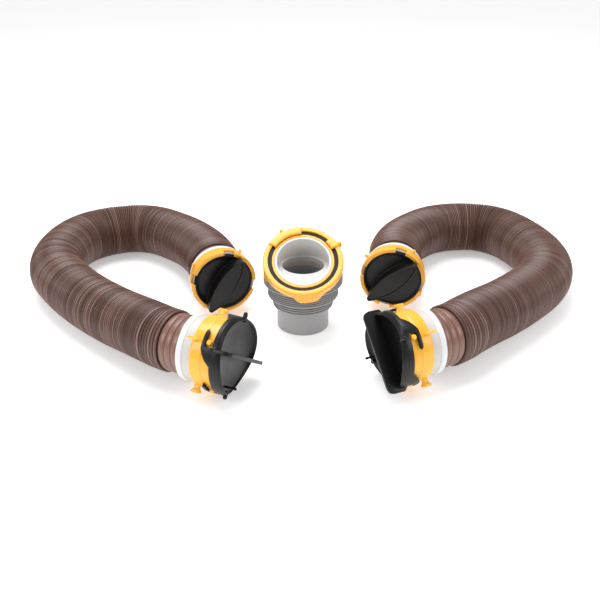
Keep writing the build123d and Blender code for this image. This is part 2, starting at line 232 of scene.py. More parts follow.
@dataclass(frozen=True)
class RibbedVinyl:
    """Brown vinyl of the hoses: painted groove shade, crests lighter for dust and a painted
    highlight, glossier necks.
    """

    slot: str = "hose_brown"
    # groove colour: painted shade in the bottom of the ribs
    groove: Colour = srgb(26, 14, 11)
    body: Colour = srgb(86, 57, 47)
    # crest colour: dust and a painted highlight on the rib tops
    crest: Colour = srgb(136, 103, 91)
    neck: Colour = srgb(128, 92, 80)

    def material(self) -> bpy.types.Material:
        """Build the node material from the rib, neck and tone values on the mesh."""
        paint = Paint(self.slot)
        rib = paint.attribute("rib")
        neck = paint.attribute("neck")
        tone = paint.attribute("tone")
        clouds = paint.noise(26.0, 3.0, 0.6)
        dust = paint.noise(420.0, 4.0, 0.7)
        # painted shade: the grooves darken towards the groove colour
        low = paint.blend(rib.above(0.05, 0.45), self.groove, self.body)
        # crests lightened on random ribs: partly dust, partly painted highlight
        crest_dust_and_highlight = rib.above(0.70, 0.30) * (tone * tone * 1.1 + clouds * 0.25)
        dense = paint.blend(crest_dust_and_highlight.clamped(), low, self.crest)
        # necks: valleys keep the darker body colour as painted shade, crests take the lighter neck
        # colour
        smooth = paint.blend(rib.above(0.0, 0.3), self.body, self.neck)
        base = paint.blend(neck, dense, smooth)
        rough = (dust - 0.5) * 0.12 + (clouds - 0.5) * 0.14 + 0.38 - neck * 0.14
        return paint.dress({"Base Color": base, "Roughness": rough.clamped(),
                            "Specular IOR Level": 0.55, "Normal": paint.bump(dust, 0.00012, 0.7)})


class Finish(Enum):
    HOSE = RibbedVinyl()
    YELLOW = Moulded("yellow_ring", srgb(252, 192, 52), srgb(248, 158, 30), 0.28, drift=0.30,
                     coat=0.25, scatter=0.12, scuff=0.07)
    CAP = Moulded("cap_black", srgb(10, 10, 11), srgb(20, 20, 22), 0.33, drift=0.35, scuff=0.10,
                  grain_depth=0.00005, specular=0.34)
    # second tone: greyer frosted cylinder, partly its own colour and partly painted shade
    COLLAR = Moulded("white_collar", srgb(224, 226, 230), srgb(200, 198, 192), 0.34, drift=0.10,
                     scatter=0.10, scuff=0.06)
    SLEEVE = Moulded("sleeve_black", srgb(20, 20, 21), srgb(32, 32, 34), 0.5)
    RUBBER = Moulded("black_rubber", srgb(9, 9, 9), srgb(18, 17, 17), 0.5, grain_depth=0.00008,
                     specular=0.35)
    LINER = Moulded("liner_grey", srgb(176, 176, 172), srgb(150, 149, 146), 0.28, drift=0.3)
    # second tone: painted shade in the thread grooves and inside the spigot
    SPIGOT = Moulded("spigot_grey", srgb(156, 156, 158), srgb(80, 80, 83), 0.40, drift=0.10,
                     grain_depth=0.00006)
    # second tone: painted shade inside the elbow
    ELBOW = Moulded("clear_elbow", srgb(234, 233, 232), srgb(176, 173, 168), 0.30, drift=0.06,
                    scatter=0.35, coat=0.2, scuff=0.05)

    def made(self) -> bpy.types.Material:
        """This finish's material, built once."""
        known = bpy.data.materials.get(self.value.slot + "_look")
        if known is None:
            known = self.value.material()
            known.name = self.value.slot + "_look"
        return known


# ------------------------------------------------------------------ shapes
class Form:
    """A closed shape under construction, in millimetres on a fitting's own axis."""

    def __init__(self) -> None:
        """Start empty."""
        self.mesh = bmesh.new()

    # ---- starting shapes
    @classmethod
    def _loop(cls, outline: Outline, upright: bool, soft: float) -> "Form":
        """Closed wire through the outline's points, its corners rounded.

        Args:
            outline: (across, along) points.
            upright: True draws it in the XZ plane, for turning; False in XY, for a plate.
            soft: how far back from each corner the rounding starts, in mm.

        Returns:
            The form, which holds only the wire.
        """
        form = cls()
        bm = form.mesh
        points = [(a, 0.0, b) if upright else (a, b, 0.0) for a, b in outline]
        corners = [bm.verts.new(point) for point in points]
        for here, after in zip(corners, corners[1:] + corners[:1]):
            if not (upright and here.co.x < ON_AXIS and after.co.x < ON_AXIS):
                bm.edges.new((here, after))
        if soft:
            free = [v for v in corners
                    if len(v.link_edges) == 2 and not (upright and v.co.x < ON_AXIS)]
            form.soften(free, soft, 3, "VERTICES")
        return form

    @classmethod
    def turned(cls, outline: Outline, soft: float = 0.4, steps: int = ROUND) -> "Form":
        """Turn a closed (radius, along) outline once round the axis."""
        form = cls._loop(outline, True, soft)
        bm = form.mesh
        bmesh.ops.spin(bm, geom=bm.verts[:] + bm.edges[:], cent=(0, 0, 0), axis=(0, 0, 1),
                       angle=math.tau, steps=steps, use_merge=True)
        bmesh.ops.remove_doubles(bm, verts=bm.verts[:], dist=0.001)
        return form.outward()

    @classmethod
    def sector(cls, outline: Outline, middle: float, width: float, soft: float = 0.4) -> "Form":
        """Turn a closed outline through part of a turn, centred on the angle middle."""
        form = cls._loop(outline, True, soft)
        bm = form.mesh
        bmesh.ops.contextual_create(bm, geom=bm.edges[:])
        form.turn(middle - width / 2)
        bmesh.ops.spin(bm, geom=form.whole(), cent=(0, 0, 0), axis=(0, 0, 1),
                       angle=math.radians(width), steps=max(3, int(width / 3.5)))
        ends = [e for e in form.sharp(1.2) if any(len(f.verts) > 4 for f in e.link_faces)]
        form.soften(ends, soft * 0.8)
        return form.outward()

    @classmethod
    def plate(cls, outline: Outline, thick: float, corner: float, soft: float,
              slices: Sequence[float] = ()) -> "Form":
        """Flat plate from z 0 to thick, with rounded corners and rims.

        Args:
            outline: points of the plate in XY.
            thick: its thickness.
            corner: how far back from a corner the rounding starts.
            soft: size of the rim's rounding.
            slices: x values where the plate is divided, so that it can be bent.

        Returns:
            The plate.
        """
        form = cls._loop(outline, False, corner)
        bm = form.mesh
        bmesh.ops.contextual_create(bm, geom=bm.edges[:])
        for x in slices:
            bmesh.ops.bisect_plane(bm, geom=form.whole(), plane_co=(x, 0, 0), plane_no=(1, 0, 0))
        grown = bmesh.ops.extrude_face_region(bm, geom=bm.faces[:])
        lifted = [item for item in grown["geom"] if isinstance(item, bmesh.types.BMVert)]
        bmesh.ops.translate(bm, verts=lifted, vec=(0, 0, thick))
        form.outward()
        if soft:
            form.soften(form.sharp(1.3), soft)
        return form

    @classmethod
    def wrapped(cls, outline: Outline, inner: float, outer: float, phi: float, corner: float = 0.8,
                soft: float = 0.5) -> "Form":
        """Plate bent round the axis, drawn flat as (along the wall, along the axis).

        Args:
            outline: points of the unrolled plate, at the outer radius.
            inner: radius of its inside.
            outer: radius of its outside.
            phi: angle where the outline's x is 0.
            corner: rounding of the outline's corners.
            soft: rounding of its rims.

        Returns:
            The bent plate.
        """
        low = min(x for x, _ in outline)
        high = max(x for x, _ in outline)
        strips = round((high - low) / 2.5)
        cuts = [low + (high - low) * k / strips for k in range(1, strips)]
        form = cls.plate(outline, outer - inner, corner, soft, cuts)
        start = math.radians(phi)
        for vert in form.mesh.verts:
            angle = start + vert.co.x / outer
            radius = inner + vert.co.z
            vert.co = (radius * math.cos(angle), radius * math.sin(angle), vert.co.y)
        return form.outward()

    # ---- parts of the mesh
    def whole(self) -> list:
        """Every vertex, edge and face."""
        return self.mesh.verts[:] + self.mesh.edges[:] + self.mesh.faces[:]

    def sharp(self, angle: float) -> list[bmesh.types.BMEdge]:
        """Edges whose two faces turn by more than an angle in radians."""
        return [e for e in self.mesh.edges
                if len(e.link_faces) == 2 and e.calc_face_angle() > angle]

    # ---- changes
    def soften(self, items: list, size: float, segments: int = 2, affect: str = "EDGES") -> None:
        """Round edges, or the corners of a wire.

        Args:
            items: the edges or the corners.
            size: how far back from them the rounding starts.
            segments: number of facets in the rounding.
            affect: EDGES or VERTICES.
        """
        bmesh.ops.bevel(self.mesh, geom=items, offset=size, offset_type="OFFSET", affect=affect,
                        segments=segments, profile=0.5, material=-1, clamp_overlap=True)

    def outward(self) -> "Form":
        """Point every face outwards."""
        bmesh.ops.recalc_face_normals(self.mesh, faces=self.mesh.faces[:])
        return self

    def move(self, x: float, y: float, z: float) -> "Form":
        """Shift the shape."""
        bmesh.ops.translate(self.mesh, verts=self.mesh.verts[:], vec=(x, y, z))
        return self

    def scale(self, x: float, y: float, z: float) -> "Form":
        """Stretch the shape about its origin."""
        bmesh.ops.scale(self.mesh, verts=self.mesh.verts[:], vec=(x, y, z))
        return self

    def turn(self, degrees: float) -> "Form":
        """Turn the shape about the axis."""
        return self.carry(Matrix.Rotation(math.radians(degrees), 4, "Z"))

    def carry(self, matrix: Matrix) -> "Form":
        """Apply a matrix."""
        bmesh.ops.transform(self.mesh, matrix=matrix, verts=self.mesh.verts[:])
        return self

    def radial(self, phi: float, along: float) -> "Form":
        """Point a shape drawn up its own Z away from the axis at phi; its X goes along the axis."""
        a = math.radians(phi)
        out = Vector((math.cos(a), math.sin(a), 0))
        side = Vector((math.sin(a), -math.cos(a), 0))
        turn = Matrix((UP, side, out)).transposed().to_4x4()
        return self.carry(Matrix.Translation((0, 0, along)) @ turn)

    def stand(self, phi: float) -> "Form":
        """Stand a flat plate up along the axis, its own X pointing away from it at phi."""
        return self.carry(Matrix.Rotation(math.radians(phi), 4, "Z")
                          @ Matrix.Rotation(math.pi / 2, 4, "X"))

    def bend(self, change: Callable[[Vector], Vector]) -> "Form":
        """Move every vertex to where change puts it."""
        for vert in self.mesh.verts:
            vert.co = change(vert.co)
        return self

    def add(self, other: "Form") -> "Form":
        """Take another shape in."""
        carrier = bpy.data.meshes.new("carrier")
        other.mesh.to_mesh(carrier)
        self.mesh.from_mesh(carrier)
        bpy.data.meshes.remove(carrier)
        other.mesh.free()
        return self

    def mark(self, name: str, value: Callable[[Vector], float]) -> "Form":
        """Keep a value on every vertex for the material."""
        layer = self.mesh.verts.layers.float.get(name) or self.mesh.verts.layers.float.new(name)
        for vert in self.mesh.verts:
            vert[layer] = value(vert.co)
        return self

    def made(self, name: str, seat: Matrix, crease: float = 35.0) -> bpy.types.Object:
        """Turn the shape into an object whose place is in its mesh.

        Args:
            name: the object's name.
            crease: edges sharper than this many degrees stay sharp in the shading.

        Returns:
            The new object.
        """
        self.carry(seat)
        data = bpy.data.meshes.new(name)
        self.mesh.to_mesh(data)
        self.mesh.free()
        data.shade_smooth()
        data.set_sharp_from_angle(angle=math.radians(crease))
        return shown(name, data)


def publish(form: Form, name: str, seat: Matrix, finish: Finish, body: str,
            *nodes: str) -> bpy.types.Object:
    """Args:
        form: its shape.
        name: its name.
        finish: its look.
        body: the moving body that carries it.
        nodes: the CAD nodes that it stands for.

    Returns:
        The piece.
    """
    piece = form.made(name, seat)
    piece.data.materials.append(finish.made())
    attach(piece, body)
    if nodes:
        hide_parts(*nodes)
    log.info("%s: %d faces on %s", name, len(piece.data.polygons), body)
    return piece


def dress_node(name: str, finish: Finish) -> None:
    """Give a CAD node that stays its material."""
    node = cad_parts[name]
    node.data.materials.clear()
    node.data.materials.append(finish.made())
    log.info("%s keeps its shape", name)


def seat_on_run(tip: Vector, inner: Vector, back: float) -> Matrix:
    """Seat of a fitting on the run from inner to tip, its origin back mm before the tip.

    Args:
        tip: last point of the hose's route, in mm.
        inner: the point before it.
        back: distance from the fitting's origin to the tip.
    """
    out = (tip - inner).normalized()
    across = Vector((-out.y, out.x, 0))
    axes = Matrix((across, out.cross(across), out)).transposed().to_4x4()
    return TO_METRES @ Matrix.Translation(tip - out * back) @ axes


# ------------------------------------------------------------------ hose
class Ring(NamedTuple):
    """One ring of the hose's wall: rib is 0 in a groove and 1 on a crest."""

    place: float
    radius: float
    rib: float
    neck: float
    tone: float
    tilt: float


@dataclass
class RibbedHose:
    """A hose lying in one curl, its ribs close together, with opened-out turns at its ends."""

    tag: str
    plan: Sequence[tuple[float, float]]
    length: float
    envelope: float = 42.5
    bore: float = 37.2
    neck_radius: float = 39.5
    neck_valley: float = 37.9
    floor_clear: float = 0.2
    axis_height: float = 54.0
    pitch: float = 4.0
    rib_depth: float = 2.3
    neck_pitch: float = 9.0
    bay_neck: float = 28.0
    lug_neck: float = 39.0
    around: int = 64
    inner_steps: int = 120
    rib_parts: Sequence[float] = (0.0, 0.08, 0.22, 0.50, 0.78, 0.92)
    seed: float = 0.0

    def route(self) -> list[Vector]:
        """The route's points in mm, bayonet end first."""
        low = self.envelope + self.floor_clear
        top = self.axis_height
        heights = [top, top, 50.0, 44.0, low, low, low, low, 44.0, 50.0, top, top]
        return [Vector((x, y, z)) for (x, y), z in zip(self.plan, heights)]

    def centreline(self) -> list[Vector]:
        """Points read from the route's NURBS spline, in mm."""
        curve = bpy.data.curves.new("route_" + self.tag, "CURVE")
        curve.dimensions = "3D"
        curve.resolution_u = 40
        spline = curve.splines.new("NURBS")
        points = self.route()
        spline.points.add(len(points) - 1)
        for knot, point in zip(spline.points, points):
            knot.co = (*point, 1.0)
        spline.order_u = 3
        spline.use_endpoint_u = True
        holder = bpy.data.objects.new("route_" + self.tag, curve)
        drawn = bpy.data.meshes.new_from_object(holder)
        line = [vert.co.copy() for vert in drawn.vertices]
        bpy.data.objects.remove(holder)
        bpy.data.curves.remove(curve)
        bpy.data.meshes.remove(drawn)
        return line

    def rows(self, total: float) -> list[Ring]:
        """Rings of the outer wall along a centreline of that length, in mm."""
        found = []
        place, count, was_neck = 0.0, 0, True
        hair = 0.01
        while place < total - hair:
            neck = place < self.bay_neck - hair or place > total - self.lug_neck - hair
            width = self.neck_pitch if neck else self.pitch * self._varied(count)
            limit = self.bay_neck if place < self.bay_neck - hair else total - self.lug_neck
            if place > total - self.lug_neck - hair:
                limit = total
            if limit - place < width * 1.5:
                width = limit - place
            rib = self._one_rib(place, width, neck, count)
            # painted shade: the ring at the step between ribs and neck takes the groove colour
            if neck != was_neck:
                rib[0] = Ring(place, self.neck_valley, 0.0, 0.0, 0.0, 0.0)
            found += rib
            place += width
            count += 1
            was_neck = neck
        found.append(Ring(total, self.neck_valley, 0.0, 1.0, 0.5, 0.0))
        return found

    def _varied(self, count: int) -> float:
        """Share of the usual pitch that one rib takes."""
        slow = noise.noise((count * 0.09, self.seed, 0.0))
        quick = noise.noise((count * 0.77, self.seed + 2.0, 0.0))
        return 1.0 + 0.08 * slow + 0.16 * quick

    def _one_rib(self, place: float, width: float, neck: bool, count: int) -> list[Ring]:
        """The rings of one rib, from its groove to just before the next."""
        rings = []
        tone = held(0.45 + 1.7 * noise.noise((count * 0.83, self.seed + 5.0, 0.0)))
        tilt = 0.0 if neck else 0.7 * noise.noise((count * 0.21, self.seed + 9.0, 0.0))
        swell = 0.45 * noise.noise((count * 0.83, self.seed + 3.0, 0.0))
        gape = min(1.2, max(0.0, noise.noise((count * 0.67, self.seed + 7.0, 0.0)) - 0.05) * 3.4)
        for part in self.rib_parts:
            rise = math.sin(math.pi * part) ** 0.5
            if neck:
                radius = self.neck_valley + (self.neck_radius - self.neck_valley) * rise
                shade = rise
            else:
                radius = (self.envelope - 0.35 + min(0.0, swell)
                          - (self.rib_depth + gape) * (1.0 - rise))
                # painted shade: deeper, gaping grooves are also coloured darker
                shade = rise * (1.0 - 0.45 * gape)
            rings.append(Ring(place + part * width, radius, shade, float(neck), tone, tilt))
        return rings

    def build(self) -> Form:
        """Outer wall with its ribs and plain inner wall, joined at both mouths."""
        line = Runner(self.centreline())
        outer = self.rows(line.total)
        steps = self.inner_steps
        plain = [line.total * (1.0 - k / steps) for k in range(steps + 1)]
        inner = [Ring(place, self.bore, 0.2, 0.0, 0.4, 0.0) for place in plain]
        return self._skin(line, outer + inner + outer[:1])

    def _skin(self, line: "Runner", rings: list[Ring]) -> Form:
        """Roll a grid into the closed double wall."""
        form = Form()
        bm = form.mesh
        bmesh.ops.create_grid(bm, x_segments=len(rings) - 1, y_segments=self.around, size=1.0)
        layers = [bm.verts.layers.float.new(name) for name in ("rib", "neck", "tone")]
        frames = [line.at(ring.place) for ring in rings]
        turns = [(math.cos(math.tau * k / self.around), math.sin(math.tau * k / self.around))
                 for k in range(self.around + 1)]
        for vert in bm.verts:
            row = round((vert.co.x + 1.0) / 2.0 * (len(rings) - 1))
            column = round((vert.co.y + 1.0) / 2.0 * self.around)
            ring = rings[row]
            centre, ahead, side, up = frames[row]
            cos, sin = turns[column]
            vert.co = (centre + side * (ring.radius * cos) + up * (ring.radius * sin)
                       + ahead * (ring.tilt * cos))
            for layer, value in zip(layers, (ring.rib, ring.neck, ring.tone)):
                vert[layer] = value
        bmesh.ops.remove_doubles(bm, verts=bm.verts[:], dist=0.002)
        return form.outward()

    def dress(self) -> bpy.types.Object:
        """Make and dress the hose."""
        return publish(self.build(), f"ribbed_hose_{self.tag}", TO_METRES, Finish.HOSE,
                       f"hose_{self.tag}", f"hose_{self.tag}_tube")

    def declare(self, piece: bpy.types.Object, fittings: Sequence[bpy.types.Object]) -> None:
        """Log the length of the hose's centreline.

        Args:
            piece: the dressed hose; not used.
            fittings: the pieces of the lug end, which the hose carries on its far end; not used.
        """
        line = self.centreline()
        log.info("hose %s: centreline %.1f mm", self.tag, Runner(line).total)


class Runner:
    """Walks along a line of points by distance."""

    def __init__(self, points: list[Vector]) -> None:
        """Measure the line."""
        self.points = points
        self.marks = [0.0]
        for here, after in zip(points, points[1:]):
            self.marks.append(self.marks[-1] + (after - here).length)
        self.total = self.marks[-1]

    def at(self, place: float) -> tuple[Vector, Vector, Vector, Vector]:
        """Centre, direction, sideways and upward vectors at a distance along the line."""
        low, high = 0, len(self.marks) - 1
        while high - low > 1:
            middle = (low + high) // 2
            if self.marks[middle] <= place:
                low = middle
            else:
                high = middle
        span = self.marks[high] - self.marks[low]
        part = held((place - self.marks[low]) / span)
        centre = self.points[low].lerp(self.points[high], part)
        ahead = self._heading(low).lerp(self._heading(high), part).normalized()
        side = UP.cross(ahead).normalized()
        return centre, ahead, side, ahead.cross(side)

    def _heading(self, index: int) -> Vector:
        """Direction of the line at one of its points."""
        before = self.points[max(0, index - 1)]
        after = self.points[min(len(self.points) - 1, index + 1)]
        return (after - before).normalized()


# ------------------------------------------------------------------ lug end
@dataclass
class HoseEnd:
    """What both ends of a hose share: the hose's tag, their seat and how their parts are named."""

    kind: ClassVar[str] = ""
    tag: str
    seat: Matrix

    def node(self, part: str) -> str:
        """CAD node name of a part of this end."""
        return f"hose_{self.tag}_{self.kind}_{part}"

    def piece(self, form: Form, name: str, finish: Finish, body: str,
              part: str) -> bpy.types.Object:
        """Publish a piece of this end.

        Args:
            form: its shape.
            name: its name without the hose's tag.
            finish: its look.
            body: the end of its body's name, after the hose's own.
            part: the part of the end that it stands for.

        Returns:
            The piece.
        """
        return publish(form, f"{name}_{self.tag}", self.seat, finish, f"hose_{self.tag}{body}",
                       self.node(part))

    def keep(self, **finishes: Finish) -> None:
        """Dress the parts that keep their CAD shape."""
        for part, finish in finishes.items():
            dress_node(self.node(part), finish)


@dataclass
class LugEnd(HoseEnd):
    """Capped lug end of a hose: white collar, yellow swivel ring with ears and pins, black cap."""

    kind: ClassVar[str] = "lug"
    fin: float
    collar_rim: float = 45.0
    collar: float = 43.4
    collar_bore: float = 39.6
    sleeve: float = 36.95
    ring: float = 47.6
    nose: float = 46.6
    ring_end: float = 54.0
    first: float = 45.0
    ear_at: float = 25.0
    pin_at: float = 46.5
    cap: float = 51.6
    cap_inner: float = 48.0
    cap_edge: float = 52.4
    cap_rim: float = 65.0
    fin_thick: float = 5.0
    fin_reach: float = 56.0
    fin_top: float = 80.5
    dish_from: float = 57.0

    def build_collar(self) -> Form:
        """Frosted collar with a bright rim at its back; its cylinder is painted greyer, partly
        frosted plastic and partly painted shade.
        """
        outline = [(self.collar_bore, 0), (self.collar_rim - 0.6, 0), (self.collar_rim, 3.5),
                   (self.collar_rim - 0.3, 8), (self.collar, 8.8), (self.collar, 26),
                   (self.sleeve, 26), (self.sleeve, 12), (self.collar_bore, 12)]
        form = Form.turned(outline, 0.5, FINE)
        # tone greys the cylinder in front of the rim: frosted look and painted shade
        return form.mark("tone", lambda co: 0.0 if co.z < 8.4 else 0.75)

    def build_ear(self) -> Form:
        """Fan-shaped finger: a thin waist that widens to a rounded head."""
        outline = [(0, 45.0), (0.72, 45.0), (0.62, 49.0), (0.60, 51.2), (0.78, 53.0), (1.0, 54.6),
                   (1.0, 56.4), (0.80, 57.5), (0, 57.5)]
        form = Form.turned([(r * 8.0, h) for r, h in outline], 0.5, 28)
        return form.scale(1.0, 0.26, 1.0).radial(0.0, self.ear_at)

    def build_pin(self) -> Form:
        """Round pin with a domed head."""
        outline = [(0, 45.5), (2.8, 45.5), (2.8, 48.4), (3.7, 48.6), (3.7, 50.2), (2.9, 51.2),
                   (1.5, 51.6), (0, 51.6)]
        return Form.turned(outline, 0.3, 24).radial(0.0, self.pin_at)

    def build_ring(self) -> Form:
        """Swivel ring with four ears and four pins."""
        bore = self.sleeve + 0.25
        body = Form.turned([(self.collar + 0.35, 21.5), (self.ring - 0.7, 21.5), (self.ring, 23.0),
                            (self.ring, 37.0), (self.nose, 39.0), (self.nose, self.ring_end),
                            (40.0, self.ring_end), (40.0, 39.2), (bore, 39.2), (bore, 26.6),
                            (self.collar + 0.35, 26.6)], 0.5, FINE)
        for k in range(4):
            body.add(self.build_ear().turn(self.first + 90 * k))
            body.add(self.build_pin().turn(self.first + 90 * k))
        return body.mark("tone", lambda co: 0.25)

    def build_arm(self, phi: float) -> Form:
        """Hooked arm that runs behind a pin."""
        outline = [(-17.8, 40.6), (-16.0, 38.2), (-12.5, 37.5), (8.5, 37.5), (15.0, 40.1),
                   (24.0, 45.6), (31.0, 52.9), (38.0, 54.6), (38.0, 57.5), (6.2, 57.5),
                   (6.2, 45.0), (3.8, 42.6), (-14.5, 42.4)]
        return Form.wrapped(outline, self.cap_inner + 0.1, self.cap, phi, 1.1, 0.45)

    def dish(self, co: Vector) -> Vector:
        """Draw the rim in and down on one diagonal of the fin and up on the other."""
        if co.z < self.dish_from:
            return co
        share = min(1.0, (co.z - self.dish_from) / 7.0)
        wave = math.cos(2.0 * (math.atan2(co.y, co.x) - math.radians(self.fin - 45.0)))
        inwards = 1.0 - 0.075 * share * max(0.0, wave)
        reach = held((math.hypot(co.x, co.y) - 25.0) / 20.0)
        drop = 3.6 * max(0.0, wave) - 4.0 * max(0.0, -wave) * reach
        return Vector((co.x * inwards, co.y * inwards, co.z - share * drop))

    def build_shell(self) -> Form:
        """Skirt and dished face."""
        outline = [(self.cap_inner, self.cap_edge), (self.cap, self.cap_edge), (self.cap, 59.0),
                   (self.cap - 0.5, 62.2), (self.cap - 1.9, self.cap_rim), (48.4, self.cap_rim),
                   (46.4, 62.4), (43.5, 60.6), (36.0, 59.3), (22.0, 58.7), (0.0, 58.5), (0.0, 56.1),
                   (self.cap_inner, 56.1)]
        return Form.turned(outline, 0.6, 144).bend(self.dish)

    def build_fin(self) -> Form:
        """Grip plate across the face, carried down the skirt at both ends."""
        r, top, edge = self.fin_reach, self.fin_top, self.cap_edge
        outline = [(-r, edge + 4), (-r, top - 8), (-r + 2.3, top - 2.3), (-r + 8, top),
                   (r - 8, top), (r - 2.3, top - 2.3), (r, top - 8), (r, edge + 4), (r - 5.2, edge),
                   (r - 5.6, self.dish_from), (5.6 - r, self.dish_from), (5.2 - r, edge)]
        plate = Form.plate(outline, self.fin_thick, 1.6, 1.1).move(0, 0, -self.fin_thick / 2)
        return plate.stand(self.fin)

    def build_post(self, side: float, top: float) -> Form:
        """Stubby round post with a domed head on the skirt."""
        outline = [(0, 45.0), (3.2, 45.0), (2.9, 51.5), (2.9, top - 2.4), (2.3, top - 0.9),
                   (1.2, top - 0.1), (0, top)]
        return Form.turned(outline, 0.5, 24).radial(self.fin + side, 62.0)

    def build_tether(self) -> Form:
        """Thin post with a ball on the face."""
        outline = [(0, 58.0), (2.0, 58.0), (1.4, 60.0), (1.4, 73.4), (1.95, 74.4), (1.95, 75.8),
                   (1.2, 76.9), (0, 77.0)]
        a = math.radians(self.fin + 84)
        return Form.turned(outline, 0.3, 20).move(40 * math.cos(a), 40 * math.sin(a), 0)

    def build_cap(self) -> Form:
        """Whole cap."""
        cap = self.build_shell()
        for k in range(4):
            cap.add(self.build_arm(self.first + 90 * k))
        for part in (self.build_fin(), self.build_post(90, 56.0), self.build_post(-90, 58.5),
                     self.build_tether()):
            cap.add(part)
        return cap

    def dress(self) -> list[bpy.types.Object]:
        """Make and dress this end's pieces, and hand over those made here."""
        self.keep(sleeve=Finish.SLEEVE, oring=Finish.RUBBER, gasket=Finish.RUBBER)
        return [self.piece(self.build_collar(), "lug_collar", Finish.COLLAR, "", "collar"),
                self.piece(self.build_ring(), "lug_ring", Finish.YELLOW, "_lug_head", "ring"),
                self.piece(self.build_cap(), "lug_cap", Finish.CAP, "_lug_cap", "cap")]


# ------------------------------------------------------------------ bayonet end
@dataclass
class BayonetEnd(HoseEnd):
    """Plugged bayonet end: white collar, yellow ring with claws, liner, black plug with a grip."""

    kind: ClassVar[str] = "bay"
    grip: float
    ring: float = 49.3
    base: float = 47.8
    mouth: float = 23.0
    lip: float = 43.8
    lip_at: float = 19.6
    claw_inner: float = 46.3
    gap: float = -13.0
    gap_width: float = 20.0
    plug: float = 43.4
    face: float = 20.5
    grip_length: float = 101.0
    grip_width: float = 29.0
    grip_top: float = 40.0
    grip_step: float = 24.0
    grip_reach: float = 46.4
    foot_reach: float = 41.2
    foot_low: float = 16.0
    leaf_steps: int = 16

    def build_collar(self) -> Form:
        """Frosted collar with a bright rim at its back; its cylinder is painted greyer, partly
        frosted plastic and partly painted shade.
        """
        outline = [(39.6, -14), (44.8, -14), (45.4, -11), (45.2, -6), (43.6, -5.3), (43.6, 4),
                   (36.95, 4), (36.95, -4), (39.6, -4)]
        form = Form.turned(outline, 0.5, FINE)
        # tone greys the cylinder in front of the rim: frosted look and painted shade
        return form.mark("tone", lambda co: 0.0 if co.z < -5.8 else 0.5)

    def build_claw(self, middle: float) -> Form:
        """One claw with its inward lip."""
        outline = [(self.claw_inner, 12.6), (self.ring, 12.6), (self.ring, self.mouth - 1.2),
                   (self.ring - 1.2, self.mouth), (self.lip, self.mouth), (self.lip, self.lip_at),
                   (self.claw_inner, self.lip_at)]
        return Form.sector(outline, middle, 90.0 - self.gap_width, 0.5)

    def build_peg(self, phi: float) -> Form:
        """Small finger on the outside of the ring."""
        outline = [(0, 47.5), (2.6, 47.5), (2.3, 50.5), (3.0, 52.2), (3.0, 53.0), (2.2, 53.6),
                   (0, 53.6)]
        return Form.turned(outline, 0.3, 20).scale(1.0, 0.75, 1.0).radial(phi, 8.6)

    def build_ring(self) -> Form:
        """Ring with four claws and four pegs."""
        body = Form.turned([(44.0, 0.0), (self.base, 0.0), (self.ring, 4.0), (self.ring, 13.0),
                            (self.claw_inner, 13.0), (self.claw_inner, 12.0), (40.0, 12.0),
                            (40.0, 10.2), (37.2, 10.2), (37.2, 4.6), (44.0, 4.6)], 0.4, FINE)
        for k in range(4):
            body.add(self.build_claw(self.gap + 45 + 90 * k))
            body.add(self.build_peg(55.0 + 90 * k))
        return body.mark("tone", lambda co: 0.45)

    def leaf_outline(self, width: float, reach: float) -> list[tuple[float, float]]:
        """Pointed oval of that width, cut off at the reach on both sides."""
        half = self.grip_length / 2
        radius = (half ** 2 + width ** 2 / 4) / width
        turn, steps = math.asin(reach / radius), self.leaf_steps
        upper = [(radius * math.sin(a), radius * math.cos(a) - radius + width / 2)
                 for a in (turn * (1 - 2 * k / steps) for k in range(steps + 1))]
        return upper + [(-x, -y) for x, y in upper]

    def build_leaf(self) -> Form:
        """Grip: a tall pointed oval with a rim and a shallow floor, on a slightly wider foot."""
        top, step = self.grip_top, self.grip_step
        leaf = self.leaf_outline(self.grip_width, self.grip_reach)
        form = Form.plate(leaf, top - step, 1.6, 0.0).move(0, 0, step)
        bm = form.mesh
        face = [f for f in bm.faces if f.normal.z > 0.9]
        bmesh.ops.inset_region(bm, faces=face, thickness=1.7, depth=0.0, use_even_offset=True)
        floor = [f for f in bm.faces if f.normal.z > 0.9 and len(f.verts) > 8]
        bmesh.ops.inset_region(bm, faces=floor, thickness=0.7, depth=-1.5, use_even_offset=True)
        rims = [e for e in form.sharp(0.7) if min(v.co.z for v in e.verts) > top - 0.1]
        form.soften(rims, 0.5, 3)
        low = self.foot_low
        foot = Form.plate(self.leaf_outline(self.grip_width, self.foot_reach), step + 0.2 - low,
                          1.6, 0.0)
        base = Form.plate(self.leaf_outline(self.grip_width + 3.4, 39.6), 3.4, 1.6, 0.9)
        form.add(foot.move(0, 0, low)).add(base.move(0, 0, low + 0.4))
        return form.turn(self.grip)

    def build_plug(self) -> Form:
        """Dished disc with its grip and the lugs under the claws."""
        outline = [(0, 15.2), (self.plug, 15.2), (self.plug, 19.6), (self.plug - 0.8, self.face),
                   (41.6, self.face), (40.0, 18.8), (36.0, 18.1), (0, 17.6)]
        body = Form.turned(outline, 0.4, FINE)
        for k in range(4):
            lug = [(self.plug - 2.0, 17.9), (46.0, 17.9), (46.0, 19.3), (self.plug - 2.0, 19.3)]
            body.add(Form.sector(lug, self.gap + 30 + 90 * k, 14.0, 0.2))
        return body.add(self.build_leaf())

    def dress(self) -> None:
        """Make and dress this end's pieces."""
        self.piece(self.build_collar(), "bayonet_collar", Finish.COLLAR, "", "collar")
        self.piece(self.build_ring(), "bayonet_ring", Finish.YELLOW, "_bay_head", "ring")
        self.piece(self.build_plug(), "bayonet_plug", Finish.CAP, "_bay_plug", "plug")
        self.keep(sleeve=Finish.SLEEVE, oring=Finish.RUBBER, gasket=Finish.RUBBER,
                  liner=Finish.LINER)


